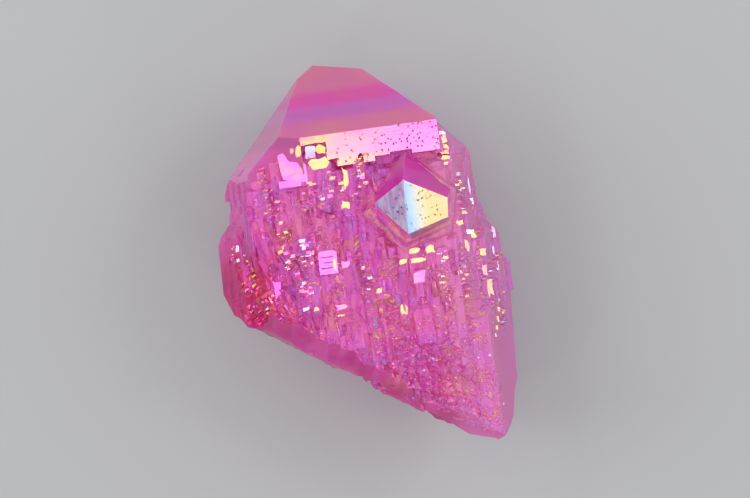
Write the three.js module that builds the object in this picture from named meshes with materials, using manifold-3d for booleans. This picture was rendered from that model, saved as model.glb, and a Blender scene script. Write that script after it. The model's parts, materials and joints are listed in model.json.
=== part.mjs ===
// A hand-sized quartz crystal with a rainbow metal coating, lying on its back prism face.
// It grew as one piece: a flattened six-sided prism with a chipped six-sided tip, many
// narrower columns grown parallel to it, one small crystal standing out of the front,
// and an oblique break across the foot. All of it is joined into one closed solid.
//
// The faces are placed in the crystal's own frame, in millimetres:
//   u  across the front prism face
//   v  along the main (c) axis, towards the tip
//   w  out of the front prism face, with w = 0 on the back prism face
// The last step turns that frame by LEAN about Z into the part's frame, +Z up.

import * as THREE from 'three';
import { ConvexGeometry } from 'three/addons/geometries/ConvexGeometry.js';
import { mergeVertices } from 'three/addons/utils/BufferGeometryUtils.js';
import Module from 'manifold-3d';

const wasm = await Module();
wasm.setup();

const DEG = Math.PI / 180;

// ---------------------------------------------------------------- driving dimensions

const LEAN = 8;            // turn of the main axis in plan, degrees
const TIP_RISE = 38.2;     // quartz tip face: how far its normal rises along the axis, degrees
const THICK = 25;          // back prism face to the highest front face
const BED = 23.1;          // bed of the etched front, between the columns
const SIDE_STEP = 1.4;     // depth of the bed below the highest side faces
const CRUST_FROM = 1.2;    // u where the crust over the lower right of the front begins

// Distance of each prism face from the axis, by its compass angle round that axis
// (0 faces the front, positive angles go to the right).
const PRISM = [
  { turn: -60, reach: 25.4 },
  { turn: -120, reach: 9.6 },
  { turn: 180, reach: 0 },
  { turn: 120, reach: 7.2 },
  { turn: 60, reach: 23.4 },
];

// The tip faces: the front one is the broad one, the one at the right has overgrown its
// neighbour at 60 degrees.
const TIP = [
  { turn: 0, reach: 30.6 },
  { turn: -60, reach: 28.3 },
  { turn: -120, reach: 14.4 },
  { turn: 180, reach: 9.6 },
  { turn: 108, reach: 14.6 },
];

// Broken faces: the chipped tip, then the oblique break over the foot of the crystal.
const CHIP = [
  { normal: [0.22, 0.955, -0.05], reach: 25.6 },
  { normal: [-0.45, 0.85, 0.28], reach: 30.9 },
];
const BREAK = [
  { normal: [-0.554, -0.832, 0], reach: 18.2 },
  { normal: [-0.392, -0.588, 0.707], reach: 27.7 },
  { normal: [-0.53, -0.8, -0.3], reach: 14.4 },
  { normal: [-0.928, -0.371, 0], reach: 22.1 },
  { normal: [-0.6, -0.26, -0.76], reach: 9.5 },
  { normal: [-0.27, -0.963, 0], reach: 24.85 },
  { normal: [0.916, -0.402, 0], reach: 27.8 },
];

// ---------------------------------------------------------------- small helpers

// Repeatable pseudo-random numbers from 0 to 1.
function seeded(seed) {
  let state = seed;
  return () => {
    state = (state * 1664525 + 1013904223) % 4294967296;
    return state / 4294967296;
  };
}

function between(random, low, high) {
  return low + (high - low) * random();
}

function plane(normal, reach) {
  const direction = new THREE.Vector3(...normal);
  const length = direction.length();
  return new THREE.Plane(direction.divideScalar(length), -reach / length);
}

// Normal of a face at a compass angle round the axis, rising towards the tip.
function faceNormal(turn, rise) {
  const flat = Math.cos(rise * DEG);
  return [Math.sin(turn * DEG) * flat, Math.sin(rise * DEG), Math.cos(turn * DEG) * flat];
}

function toManifold(geometry) {
  const bare = geometry.clone();
  bare.deleteAttribute('normal');
  bare.deleteAttribute('uv');
  const merged = mergeVertices(bare, 1e-5);
  return new wasm.Manifold(new wasm.Mesh({
    numProp: 3,
    vertProperties: new Float32Array(merged.attributes.position.array),
    triVerts: new Uint32Array(merged.index.array),
  }));
}

function toGeometry(manifold) {
  const mesh = manifold.getMesh();
  const geometry = new THREE.BufferGeometry();
  geometry.setAttribute('position', new THREE.BufferAttribute(mesh.vertProperties, 3));
  geometry.setIndex(new THREE.BufferAttribute(mesh.triVerts, 1));
  return geometry;
}

function join(solids) {
  return solids.reduce((whole, solid) => whole.add(solid));
}

// The outer skin alone: small pockets closed in between neighbouring columns are filled.
function outerSkin(manifold) {
  return manifold.decompose().reduce((best, piece) => (
    piece.volume() > best.volume() ? piece : best
  ));
}

// The point shared by three planes, or null where two of them are parallel.
function meetingPoint(a, b, c) {
  const rows = new THREE.Matrix3().set(...a.normal, ...b.normal, ...c.normal);
  if (Math.abs(rows.determinant()) < 1e-6) return null;
  return new THREE.Vector3(-a.constant, -b.constant, -c.constant).applyMatrix3(rows.invert());
}

// The closed solid behind a set of flat crystal faces.
function behindFaces(planes) {
  const corners = [];
  for (let i = 0; i < planes.length; i++) {
    for (let j = i + 1; j < planes.length; j++) {
      for (let k = j + 1; k < planes.length; k++) {
        const point = meetingPoint(planes[i], planes[j], planes[k]);
        if (!point) continue;
        if (planes.some((face) => face.distanceToPoint(point) > 1e-6)) continue;
        if (corners.some((corner) => corner.distanceTo(point) < 1e-4)) continue;
        corners.push(point);
      }
    }
  }
  return toManifold(new ConvexGeometry(corners));
}

// ---------------------------------------------------------------- the main crystal

// The main prism with its tip and break. The front and the sides can be set back from
// the outermost faces, which leaves a bed for the narrower columns.
function mainCrystal(front, setBack) {
  const faces = [plane(faceNormal(0, 0), front)];
  for (const { turn, reach } of PRISM) {
    const back = turn === 180 ? 0 : setBack;
    faces.push(plane(faceNormal(turn, 0), reach - back));
  }
  for (const { turn, reach } of TIP) {
    faces.push(plane(faceNormal(turn, TIP_RISE), reach));
  }
  for (const { normal, reach } of [...CHIP, ...BREAK]) faces.push(plane(normal, reach));
  return behindFaces(faces);
}

// A six-sided column along the axis. Its outer face looks the way of `turn`, at `front`
// from the axis; `along` is its place across that face and `half` its half thickness.
// `spread` widens it, `lean` tips the apex sideways and `draft` narrows it to the foot.
function column({ turn = 0, along, front, half, tip, foot, spread = 0, lean = 0, draft = 0 }) {
  const out = new THREE.Vector2(Math.sin(turn * DEG), Math.cos(turn * DEG));
  const side = new THREE.Vector2(Math.cos(turn * DEG), -Math.sin(turn * DEG));
  const middle = out.multiplyScalar(front - half).addScaledVector(side, along);
  const centre = new THREE.Vector3(middle.x, draft ? tip : 0, middle.y);
  const apex = new THREE.Vector3(middle.x + lean * side.x, tip, middle.y + lean * side.y);
  const faces = [plane([0, -1, 0], -foot)];
  for (let k = 0; k < 6; k++) {
    const wall = new THREE.Vector3(...faceNormal(turn + 60 * k, k === 0 ? 0 : -draft));
    const roof = new THREE.Vector3(...faceNormal(turn + 60 * k, TIP_RISE));
    const widen = k % 3 === 0 ? 0 : spread;
    const grow = k % 2 === 0 ? 0 : half * 0.12;
    faces.push(plane(wall.toArray(), wall.dot(centre) + half + widen));
    faces.push(plane(roof.toArray(), roof.dot(apex) + grow));
  }
  return behindFaces(faces);
}

// The break runs obliquely, so the foot of the crystal lies at a different v for each u.
function breakLine(u) {
  const { normal, reach } = BREAK[0];
  return (reach - normal[0] * u) / normal[1];
}

// ---------------------------------------------------------------- the front

// The smooth ledge under the broad tip face keeps the full thickness. Its lower edge is
// ragged: each stretch of it ends at its own height.
const LEDGE = [
  { from: -3.9, to: -2.6, low: 14.2 },
  { from: -2.6, to: -0.3, low: 12.9 },
  { from: 1.3, to: 2.9, low: 12.9 },
  { from: 2.9, to: 5.2, low: 13.6 },
  { from: 5.2, to: 8.4, low: 13.9 },
  { from: 8.4, to: 12.6, low: 13.3 },
  { from: -0.3, to: 1.3, low: 14.6 },
  { from: -7.6, to: -3.9, low: 16.7 },
  { from: -11.0, to: -7.6, low: 17.2 },
  { from: -13.6, to: -11.0, low: 15.0 },
  { from: -17.6, to: -13.6, low: 12.6, floor: 14 },
  { from: -24.0, to: -17.6, low: 10.2, floor: 13 },
];

function frontLedge(envelope) {
  const high = 40;
  const blocks = LEDGE.map(({ from, to, low, floor = 20 }) => {
    const block = new THREE.BoxGeometry(to - from + 0.02, high - low, THICK + 1 - floor);
    block.translate((from + to) / 2, (high + low) / 2, (THICK + 1 + floor) / 2);
    return toManifold(block);
  });
  return envelope.intersect(join(blocks));
}

// Flat-topped columns that stand at the full thickness or a little under it.
const FRONT_COLUMNS = [
  { along: 0.5, front: 24.3, half: 1.6, tip: 15.2, foot: 6.5 },
  { along: -5.4, front: 24.6, half: 1.5, tip: 15.9, foot: 12.4, spread: 0.6 },
  { along: -9.4, front: 24.9, half: 1.9, tip: 16.9, foot: 9.0, spread: 0.9 },
  { along: -12.4, front: 24.5, half: 1.5, tip: 16.2, foot: 11.0, spread: 0.4 },
  { along: -6.0, front: 25.0, half: 1.4, tip: 2.6, foot: -2.6, spread: 0.8 },
  { along: 7.2, front: 24.8, half: 1.1, tip: -2.4, foot: -5.8, spread: 0.5 },
  { along: -2.0, front: 24.6, half: 1.0, tip: 8.6, foot: 5.2, spread: 0.3 },
  { along: -13.6, front: 24.4, half: 1.2, tip: -0.6, foot: -5.2, spread: 0.4 },
  { along: -4.3, front: 24.5, half: 1.1, tip: -6.2, foot: -9.4, spread: 0.5 },
  { along: 13.0, front: 24.4, half: 1.4, tip: 16.6, foot: 12.8, spread: 0.3 },
];

// How far up the front the etched columns reach, by their place across it.
function frontTop(u) {
  if (u > -4) return 12.6;
  return Math.min(15.6, 28.6 + 1.1 * u);
}

// The crust of small crystals covers the lower right of the front, below this height.
function crustTop(u) {
  return u < CRUST_FROM ? -Infinity : -9.6 - 0.5 * Math.max(0, u - 8);
}

function frontRelief(random) {
  const solids = FRONT_COLUMNS.map(column);
  for (let along = -15.4; along < 12.4; along += between(random, 1.3, 2.3)) {
    let tip = frontTop(along) - between(random, 0, 2.5);
    while (tip > breakLine(along) + 4.5) {
      const half = between(random, 0.7, 1.5);
      const proud = tip < crustTop(along) ? 0.5 : 1.7;
      solids.push(column({
        along,
        front: BED + between(random, 0.2, proud),
        half,
        tip,
        foot: tip - between(random, 4, 9),
        spread: between(random, 0, 0.5),
        lean: between(random, -0.2, 0.2),
      }));
      tip -= between(random, 3, 6);
    }
  }
  return solids;
}

// ---------------------------------------------------------------- the sides

// Columns on the four slanting prism faces, in the same way as on the front. `from` and
// `to` are the stretch across the face that is covered.
const SIDES = [
  { turn: -60, from: 3.0, to: 12.6, top: 11.6 },
  { turn: -120, from: -22.0, to: -7.0, top: 4.0 },
  { turn: 120, from: -22.0, to: -9.0, top: 9.0 },
  { turn: 60, from: -10.0, to: -3.0, top: 15.4 },
];

function sideRelief(random) {
  const solids = [];
  for (const { turn, from, to, top } of SIDES) {
    const { reach } = PRISM.find((face) => face.turn === turn);
    for (let along = from; along < to; along += between(random, 1.5, 2.8)) {
      let tip = top - between(random, 0, 4);
      while (tip > -22) {
        solids.push(column({
          turn,
          along,
          front: reach - between(random, 0.1, 1.2),
          half: between(random, 0.9, 1.8),
          tip,
          foot: tip - between(random, 6, 12),
          spread: between(random, 0, 0.5),
        }));
        tip -= between(random, 4, 9);
      }
    }
  }
  return solids;
}

// Six-sided windows etched into the back face, 0.7 mm deep.
const BACK_WINDOWS = [
  { turn: 180, along: 8.2, front: 3, half: 1.85, tip: 6.5, foot: -2.5, spread: 0.4 },
  { turn: 180, along: 4.0, front: 3, half: 1.85, tip: -3.0, foot: -12.5, spread: 0.8 },
  { turn: 180, along: -7.4, front: 3, half: 1.85, tip: 1.8, foot: -6.6 },
];

// Stout parallel crystals that step out of the left and right sides towards the foot.
const STOUT = [
  { along: 11.4, front: 23.4, half: 5.4, tip: 18.6, foot: -30, spread: -0.5 },
  { along: 13.0, front: 22.2, half: 4.9, tip: 9.6, foot: -30, spread: -0.6 },
  { along: 15.2, front: 21.2, half: 4.4, tip: 5.0, foot: -30, spread: -0.3, draft: 1 },
  { along: 16.4, front: 20.2, half: 4.4, tip: 0.2, foot: -34, spread: -0.5, draft: 3 },
  { along: 13.2, front: 23.6, half: 6.0, tip: -4.5, foot: -34, spread: -0.5 },
  { along: -14.2, front: 21.4, half: 5.0, tip: 15, foot: -30, spread: -0.7 },
  { along: -15.4, front: 21.6, half: 6.2, tip: 11.2, foot: -30, spread: -0.5, draft: -1.4 },
];

// ---------------------------------------------------------------- the small crystal

// The small crystal stands out of the front with its own axis, a little up and left.
// Places on it are measured from its apex. Four edges run down from the apex and part
// its tip faces, and the ring is the outline where those faces meet the walls.
const SATELLITE = {
  apex: [6.5, 9.4, 30.6],
  axis: [-0.14, 0.42, 0.9],
  edges: [[0.9, 4.1, -5.0], [5.8, -3.2, -2.9], [-0.3, -7.8, -3.4], [-4.6, -2.7, -4.4]],
  ring: [[0.9, 4.1], [4.8, 2.1], [6.8, -2.0], [5.8, -6.1], [-0.3, -7.8], [-4.6, -2.7], [-2.9, 3.4]],
  length: 13,
};

function satellite() {
  const apex = new THREE.Vector3(...SATELLITE.apex);
  const axis = new THREE.Vector3(...SATELLITE.axis).normalize();
  const edges = SATELLITE.edges.map((edge) => new THREE.Vector3(...edge));
  const roofs = edges.map((edge, k) => (
    edges[(k + 1) % edges.length].clone().cross(edge).normalize()
  ));
  const ring = SATELLITE.ring.map(([du, dv]) => {
    const drops = roofs.map((normal) => -(normal.x * du + normal.y * dv) / normal.z);
    return new THREE.Vector3(du, dv, Math.min(...drops));
  });
  const walls = ring.map((corner, k) => {
    const run = ring[(k + 1) % ring.length].clone().sub(corner);
    const normal = axis.clone().cross(run).normalize();
    return plane(normal.toArray(), normal.dot(apex) + normal.dot(corner));
  });
  const root = axis.clone().negate();
  return behindFaces([
    ...roofs.map((normal) => plane(normal.toArray(), normal.dot(apex))),
    ...walls,
    plane(root.toArray(), root.dot(apex) + SATELLITE.length),
  ]);
}

// ---------------------------------------------------------------- the foot

// Glittering crust of small crystals over the lower right of the front.
function crust(random) {
  const solids = [];
  const pitch = 1.55;
  for (let u = CRUST_FROM; u < 15; u += pitch) {
    for (let v = breakLine(u) + 3.9; v < crustTop(u); v += pitch) {
      const grain = new THREE.OctahedronGeometry(between(random, 0.8, 1.3));
      grain.rotateX(between(random, 0, Math.PI));
      grain.rotateY(between(random, 0, Math.PI));
      grain.translate(
        u + between(random, -0.5, 0.5),
        v + between(random, -0.5, 0.5),
        BED + between(random, 0.1, 0.8),
      );
      solids.push(toManifold(grain));
    }
  }
  return solids;
}

// Shell-shaped hollows where flakes left the break, each at its place along the break,
// its depth behind the broken face and its height above the back.
const FLAKES = [
  { u: -11.4, w: 13, deep: 0.6, size: [4.4, 6.0, 16] },
  { u: -4.2, w: 14, deep: 1.8, size: [7.4, 6.0, 20] },
  { u: 4.4, w: 15, deep: 1.2, size: [5.6, 6.0, 18] },
  { u: 10.6, w: 15, deep: 0.8, size: [4.8, 6.0, 17] },
  { u: -8.0, w: 3, deep: 3.6, size: [7.0, 7.0, 6] },
  { u: 5.0, w: 2, deep: 3.8, size: [7.5, 7.0, 6] },
];

function flake({ u, w, deep, size }) {
  const out = new THREE.Vector3(...BREAK[0].normal).normalize();
  const hollow = new THREE.SphereGeometry(1, 14, 10);
  hollow.scale(...size);
  hollow.rotateZ(Math.atan2(out.x, -out.y));
  const away = size[1] - deep;
  hollow.translate(u + out.x * away, breakLine(u) + out.y * away, w);
  return toManifold(hollow);
}

// ---------------------------------------------------------------- putting it together

function quartz() {
  const random = seeded(11);
  const envelope = mainCrystal(THICK, 0);
  const inside = join([
    mainCrystal(BED, SIDE_STEP),
    frontLedge(envelope),
    ...frontRelief(random),
    ...sideRelief(random),
    ...crust(random),
  ]).intersect(envelope);
  const foot = behindFaces([
    plane([0, 1, 0], 60),
    plane([1, 0, 0], 60),
    plane([-1, 0, 0], 60),
    plane([0, 0, 1], 60),
    plane([0, 0, -1], 0),
    ...BREAK.map(({ normal, reach }) => plane(normal, reach)),
  ]);
  const stout = join(STOUT.map(column)).intersect(foot);
  const hollows = [...FLAKES.map(flake), ...BACK_WINDOWS.map(column)];
  const whole = join([inside, stout, satellite()]).subtract(join(hollows));
  return toGeometry(outerSkin(whole));
}

const coating = new THREE.MeshStandardMaterial({
  color: 0xd060a8,
  roughness: 0.15,
  metalness: 0.3,
});

const part = new THREE.Group();
const crystal = new THREE.Mesh(quartz(), coating);
crystal.name = 'quartz_crystal';
crystal.geometry.rotateZ(LEAN * DEG);
part.add(crystal);

export default part;
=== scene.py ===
"""Aura quartz specimen, lying on its back face and seen from straight above.

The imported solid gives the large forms. This script joins the finer growth to a copy of it
(columns, stacks of small shelves, windows, the glittering crust, the shell-like break) and
gives it the translucent pink body and the thin rainbow film of coated quartz.
"""
import json
import math
import random

import bmesh
import bpy
import numpy
from mathutils import Matrix, Vector, noise
from mathutils.bvhtree import BVHTree

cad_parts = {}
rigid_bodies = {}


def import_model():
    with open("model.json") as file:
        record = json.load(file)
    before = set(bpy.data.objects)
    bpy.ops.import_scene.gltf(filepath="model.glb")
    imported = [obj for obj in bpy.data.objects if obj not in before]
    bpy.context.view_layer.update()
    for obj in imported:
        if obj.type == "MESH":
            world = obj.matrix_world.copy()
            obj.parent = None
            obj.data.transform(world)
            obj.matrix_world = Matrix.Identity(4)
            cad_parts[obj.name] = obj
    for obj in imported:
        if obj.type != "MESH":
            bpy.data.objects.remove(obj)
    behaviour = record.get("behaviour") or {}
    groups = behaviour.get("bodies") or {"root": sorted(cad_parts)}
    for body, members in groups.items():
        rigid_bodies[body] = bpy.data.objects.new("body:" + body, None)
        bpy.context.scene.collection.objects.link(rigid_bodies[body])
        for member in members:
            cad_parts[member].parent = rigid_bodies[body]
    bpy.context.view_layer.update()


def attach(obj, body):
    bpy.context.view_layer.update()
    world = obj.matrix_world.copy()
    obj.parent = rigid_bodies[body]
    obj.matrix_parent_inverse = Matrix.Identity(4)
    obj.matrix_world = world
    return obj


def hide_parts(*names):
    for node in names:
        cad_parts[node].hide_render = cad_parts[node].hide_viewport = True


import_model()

# ---------------- sizes and places
# Places on the crystal are in its own frame, in millimetres: u across the front face,
# v along the main axis towards the tip, w out of the front face, from 0 on the back.

MM = 0.001
LEAN = math.radians(8)       # turn of the main axis in plan
TIP_SLOPE = math.radians(38.2)
TO_PART = Matrix.Rotation(LEAN, 4, "Z") @ Matrix.Scale(MM, 4)
TO_CRYSTAL = TO_PART.inverted()
CAD = bpy.data.objects["quartz_crystal"]
OUT = Vector((0, 0, 1))      # the way the front faces
WELD = 1e-7                  # corners of the solid this close, in metres, are one
OUTSIDE = 60                 # a distance from the axis well outside the crystal
UNDER, OVER = -4, 32         # heights clear of the crystal
FLAT = 0.866                 # share of its radius that a hexagon's side is from its middle

# Heights on the front.
FRONT = 25.0                 # the ledge under the tip, and the highest columns
SIDE_FRONT = 25.38           # the highest faces of the upper left side
FILLED = 24.98               # what is filled in beside the ledge
PLATEAU_FRONT = 24.94        # the bright plateau left of the ledge
POLISHED_FROM = 24.87        # the solid is polished from here up
SHEET_LIMIT = 24.86          # the etched sheet stays under the polished faces
TRIMMED = 24.4               # stretches that are taken down
FLASH_LIMIT = 25.02          # the single true faces stay under this
LEDGE_FOOT = 12.4            # v where the ledge ends below

# The break at the foot faces this far to the left and down. Its rim is BREAK_REACH out.
BREAK_LEFT = 0.554
BREAK_DOWN = 0.832
BREAK_REACH = 18.2
BREAK_OUT = Vector((-BREAK_LEFT, -BREAK_DOWN, 0)).normalized()
BREAK_ALONG = Vector((BREAK_DOWN, -BREAK_LEFT, 0)).normalized()

# The etched sheet over the front: first and last row, distance of the rows, columns.
SHEET_FOOT, SHEET_TOP, SHEET_PITCH, SHEET_COLUMNS = -29.1, 15.4, 0.15, 230

# The crust of grains lies right of this u.
CRUST_FROM = 0.8

# Material slots of the crystal.
BODY, MIRROR, FLASH, SHELF, CRUST, BROKEN = range(6)

# The film on each small face is thinner or thicker than on the body round it, in
# nanometres. That sets the colour it flashes.
WHITE, BLUE_WHITE, GOLD, PEACH, PINK, SAME, DEEP = -196, -208, -32, -25, -4, 0, 12
SHELF_FILMS = (GOLD, PEACH, PEACH, PINK, PINK, PINK, PINK, SAME, SAME, DEEP)
CRUST_FILMS = (PINK, PINK, SAME, DEEP)
GRAIN_FILMS = (WHITE, PEACH, PINK, PINK, PINK, SAME, SAME, DEEP)
BRIGHT_FILMS = (WHITE, BLUE_WHITE, GOLD, PEACH, PEACH, PINK, PINK)
DULL_FILMS = (PEACH, PEACH, PINK, PINK, PINK, SAME, DEEP)

# Strings of small shelves: width, then the places the string passes through.
STRINGS = [
    (0.9, [(-13.8, 14.2), (-13.6, 10.7), (-13.7, 6.5)]),
    (0.9, [(-19.4, 3.5), (-19.2, -1.0), (-18.0, -5.0), (-16.0, -10.0)]),
    (0.7, [(-17.8, 3.2), (-17.4, -2.0), (-15.6, -7.0)]),
    (1.6, [(-12.0, 9.4), (-12.2, 4.6), (-12.0, 1.8), (-11.0, -2.0)]),
    (3.4, [(-6.4, 11.2), (-6.9, 7.2)]),
    (1.0, [(-4.0, 12.9), (-4.2, 8.7), (-4.2, 4.5)]),
    (1.2, [(-2.0, 12.3), (-2.2, 10.0), (-2.6, 5.4)]),
    (1.5, [(1.0, 14.2), (0.9, 10.6), (-0.9, 7.4)]),
    (1.8, [(-8.6, 3.3), (-9.2, -1.0), (-9.7, -5.6)]),
    (1.8, [(-13.6, -1.9), (-14.0, -5.0)]),
    (1.0, [(-5.2, -4.0), (-5.6, -9.0)]),
    (1.0, [(-0.8, -1.0), (-0.4, -8.0)]),
    (1.4, [(2.2, -5.6), (3.0, -9.5)]),
    (1.4, [(11.0, -1.5), (10.4, -9.0)]),
    (1.2, [(13.6, -0.5), (13.4, -9.0)]),
    (1.1, [(16.6, -2.0), (17.0, -6.0), (17.3, -11.0)]),
    (0.7, [(18.7, -3.0), (18.5, -8.0), (18.2, -14.0)]),
    (0.8, [(14.6, 9.6), (14.4, 4.0)]),
]

# Single faces that lie true to the front and flash: middle, width, height, film.
FLASHES = [
    ((-5.8, 17.0), 3.6, 0.8, PEACH), ((-6.4, 15.4), 1.3, 1.6, BLUE_WHITE),
    ((-4.9, 15.3), 1.8, 1.9, GOLD), ((-5.2, 13.7), 2.6, 1.4, GOLD),
    ((-6.3, 13.3), 0.9, 0.8, BLUE_WHITE), ((-8.1, 15.7), 0.7, 1.5, GOLD),
    ((-9.0, 16.0), 0.5, 0.8, PEACH),
    ((-5.1, -1.3), 0.35, 1.6, GOLD),
    ((-3.6, -1.6), 1.2, 1.0, PINK), ((6.7, -0.9), 1.4, 0.7, GOLD),
    ((9.1, -1.0), 1.2, 1.0, GOLD), ((5.0, -2.2), 1.0, 0.9, GOLD),
    ((7.2, -2.4), 2.0, 0.6, GOLD), ((6.9, -4.8), 1.8, 1.4, PINK),
    ((15.1, 0.7), 1.3, 0.6, WHITE), ((15.6, 0.1), 1.0, 0.9, GOLD),
    ((14.4, -1.2), 0.9, 1.5, PEACH), ((16.8, -2.5), 0.9, 1.0, GOLD),
    ((16.7, -5.3), 0.6, 1.4, PEACH), ((17.2, -8.0), 0.7, 2.2, GOLD),
    ((4.1, -9.2), 0.8, 1.5, GOLD), ((0.9, -6.0), 1.0, 0.6, PEACH),
    ((-2.3, 7.1), 1.2, 1.1, GOLD), ((-1.7, 11.2), 0.7, 2.4, GOLD),
    ((-13.9, -3.6), 1.0, 2.4, PINK), ((-8.6, -7.4), 0.8, 0.5, GOLD),
    ((-10.2, -7.2), 0.9, 0.5, BLUE_WHITE), ((-5.0, -7.6), 1.6, 0.7, PINK),
    ((-18.9, 2.9), 0.8, 1.0, WHITE), ((13.1, 15.6), 1.0, 0.9, BLUE_WHITE),
    ((13.1, 14.6), 1.1, 0.9, GOLD), ((13.2, 13.6), 1.2, 0.8, GOLD),
    ((13.2, 12.8), 1.1, 0.6, PEACH), ((13.3, 11.9), 1.2, 0.7, GOLD),
    ((13.0, 11.1), 0.9, 0.4, GOLD), ((16.1, 7.4), 0.5, 2.2, BLUE_WHITE),
    ((16.3, 5.2), 0.4, 1.0, WHITE), ((18.9, 0.0), 0.5, 1.6, BLUE_WHITE),
    ((18.4, -2.4), 0.4, 1.2, BLUE_WHITE), ((18.7, -5.2), 0.5, 2.2, WHITE),
    ((18.9, -7.6), 0.4, 1.4, BLUE_WHITE), ((18.2, -10.0), 0.4, 0.6, WHITE),
    ((17.9, -11.2), 0.5, 0.7, GOLD),
    ((17.6, -12.7), 0.4, 0.9, GOLD), ((17.2, -13.9), 0.5, 0.6, PEACH),
    ((16.9, -14.9), 0.4, 0.5, WHITE),
    ((14.6, 3.6), 1.3, 0.5, PEACH), ((14.0, 2.2), 0.9, 0.7, GOLD),
]

# Corners of the bright plateau left of the ledge.
PLATEAU = [(-11.2, 15.6), (-10.3, 15.9), (-9.7, 14.6), (-8.4, 14.2), (-7.8, 12.9), (-8.0, 11.4),
           (-8.7, 11.5), (-9.0, 10.7), (-9.9, 10.9), (-10.2, 11.8), (-10.8, 12.0),
           (-11.1, 13.6)]

# Windows etched a little into the front: middle, width, height. The last three are narrow
# grooves across the bright square left of the middle.
WINDOWS = [
    ((-10.7, 3.0), 1.6, 3.0), ((-12.8, 0.4), 1.3, 2.6), ((-6.8, 2.9), 0.8, 1.0),
    ((-3.5, -3.9), 1.2, 3.4), ((-1.2, -4.0), 0.9, 3.0), ((8.8, -6.4), 1.6, 3.0),
    ((4.2, -6.0), 1.2, 2.6), ((12.2, -3.4), 1.0, 3.4), ((-8.2, 5.4), 1.4, 1.2),
    ((-11.6, -4.6), 1.2, 2.2), ((-4.6, -11.0), 1.6, 1.4), ((0.6, 2.6), 1.2, 2.4),
    ((10.9, -8.4), 1.4, 2.2),
    ((-6.2, -0.1), 2.0, 0.16), ((-5.8, -0.9), 1.7, 0.14), ((-6.3, -1.7), 1.9, 0.18),
]

# Sides of the small crystal's skirt: a place on its top edge, the way it faces, its width.
SKIRT = [
    ((6.2, 1.6), (0.268, -0.963), 2.4),
    ((6.2, 1.6), (-0.765, -0.645), 2.6),
    ((12.3, 3.3), (0.970, -0.240), 0.9),
    ((7.4, 13.5), (0.720, 0.695), 0.5),
    ((7.4, 13.5), (-0.777, 0.629), 0.7),
]

# Left of the ledge the front turns away towards the left tip face: the outline of that
# stretch, the u where it begins, and how far it drops for each millimetre to the left.
SHOULDER = [(-7.6, 12.4), (-7.6, 17.25), (-12.0, 17.25), (-14.4, 15.0), (-16.0, 13.5),
            (-15.9, 12.4)]
SHOULDER_FROM = -7.6
SHOULDER_DROP = 0.15

# What stands over the shoulder is cut away within this outline.
OVER_SHOULDER = [(-7.6, 11.8), (-7.6, 30), (-17.6, 30), (-17.6, 11.8)]

# Stretches that are taken down: one below the plateau, one on each side of the square.
TRIMS = [
    [(-11.6, 7.8), (-7.3, 7.8), (-7.3, 10.8), (-11.6, 10.8)],
    [(-4.7, -2.9), (-4.1, -2.9), (-4.1, 1.0), (-4.6, 1.0)],
    [(-8.0, -2.9), (-7.4, -2.9), (-7.3, 1.0), (-8.0, 1.0)],
]

# Bays in the lower edge of the ledge that are nearly filled.
LEDGE_BAYS = [
    [(-1.3, 13.0), (0.4, 12.9), (0.5, 14.1), (0.9, 14.4), (1.4, 14.0), (1.5, 13.2), (2.9, 13.3),
     (2.9, 15.2), (-1.2, 15.2)],
    [(-4.0, 14.0), (-2.3, 14.1), (-2.2, 15.2), (-4.0, 15.2)],
]

# The corner at the foot on the right is worn away within this outline.
WORN_CORNER = [(19.6, -21.5), (18.8, -23.4), (18.4, -25.4), (18.0, -27.2), (17.3, -28.5),
               (16.4, -29.6), (15.2, -30.3), (13.5, -30.9), (13.0, -36.0), (26.0, -36.0),
               (26.0, -21.5)]

# The slanting sides that carry small columns: compass angle, first and last place across
# the face, highest and lowest v.
SIDES = [
    (-60, 4, 13, 9, 3), (-120, -20, -8, 3, -9), (120, -22, -9, 8, -22), (60, -10, -3, 14, -8),
]


def break_line(u):
    """The v at which the rim of the break lies, for a place across the front."""
    return (-BREAK_REACH - BREAK_LEFT * u) / BREAK_DOWN


def front_top(u):
    """The v up to which the front is etched: under the ledge and the left tip face."""
    return min(LEDGE_FOOT if u > -4 else 15.3, 27.5 + 1.1 * u)


def crust_top(u):
    """The v up to which the crust of grains reaches."""
    return -math.inf if u < CRUST_FROM else -9.4 - 0.5 * max(0, u - 8)


def crust_rows(u, v):
    """A place in the crust, as how far it is along its rows and how far across them."""
    return 0.88 * u - 0.47 * v, 0.47 * u + 0.88 * v


def smooth(value, low, high):
    """0 up to low, 1 from high on, with a gentle slope between them."""
    t = min(1.0, max(0.0, (value - low) / (high - low)))
    return t * t * (3 - 2 * t)


def left_share(u):
    """0 over most of the front, rising to 1 at its left edge."""
    return smooth(-u, 8, 16)


def from_small_crystal(u, v):
    """How far down the skirt of the small crystal a place is: 0 at its top, 1 at its foot."""
    return max(((u - x) * across + (v - y) * along) / wide
               for (x, y), (across, along), wide in SKIRT)


def is_open(u, v):
    """True where small growth may stand: off the plateau, the small crystal and the break."""
    plateau = -11.2 < u < -7.6 and 10.6 < v < 16
    return from_small_crystal(u, v) > 0.9 and not plateau and v > break_line(u) + 1.6


def on_flash(u, v, margin=0.25):
    return any(abs(u - x) < width / 2 + margin and abs(v - y) < height / 2 + margin
               for (x, y), width, height, _ in FLASHES)


rng = random.Random(5)


def seeded(things, seed):
    """Go through things with a new seed for each, so that one left out changes no other."""
    for number, thing in enumerate(things):
        rng.seed(seed + number)
        yield thing


# ---------------- meshes
def object_from(data, name):
    obj = bpy.data.objects.new(name, data)
    bpy.context.scene.collection.objects.link(obj)
    return obj


def face_axes(turn):
    """Out and across directions of the prism face at a compass angle, in degrees."""
    a = math.radians(turn)
    return Vector((math.sin(a), 0, math.cos(a))), Vector((math.cos(a), 0, -math.sin(a)))


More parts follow.
